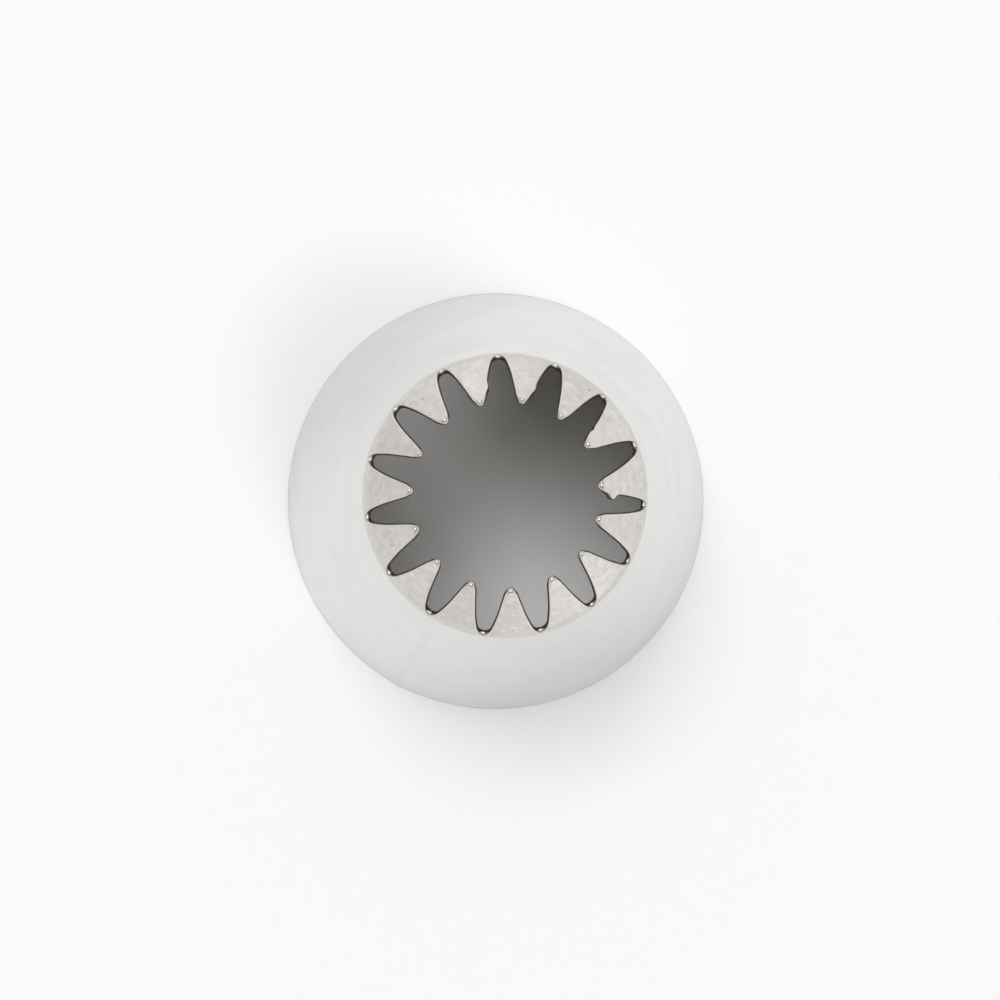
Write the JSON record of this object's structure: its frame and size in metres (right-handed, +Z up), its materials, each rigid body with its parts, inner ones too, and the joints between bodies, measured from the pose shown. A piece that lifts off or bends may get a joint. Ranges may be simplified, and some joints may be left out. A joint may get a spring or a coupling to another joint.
{
  "type": "piping nozzle",
  "caption": "Open star piping nozzle: a seamed sheet steel cone with a ring of short teeth bent in round the mouth, for shaping cream pushed through it.",
  "frame": {"origin": "centre of the base edge, on the surface that the nozzle stands on", "axes": "+Z up the nozzle's axis, from the filling end to the star mouth"},
  "size_m": [0.029, 0.029, 0.036],
  "materials": {
    "wall_steel": "satin polished stainless steel sheet",
    "crown_steel": "stainless steel, ground round the mouth after slotting",
    "weld_steel": "fused stainless steel, dressed flush"
  },
  "bodies": {
    "root": {"cone_wall": "wall_steel", "star_crown": "crown_steel", "seam_weld": "weld_steel"}
  },
  "joints": []
}
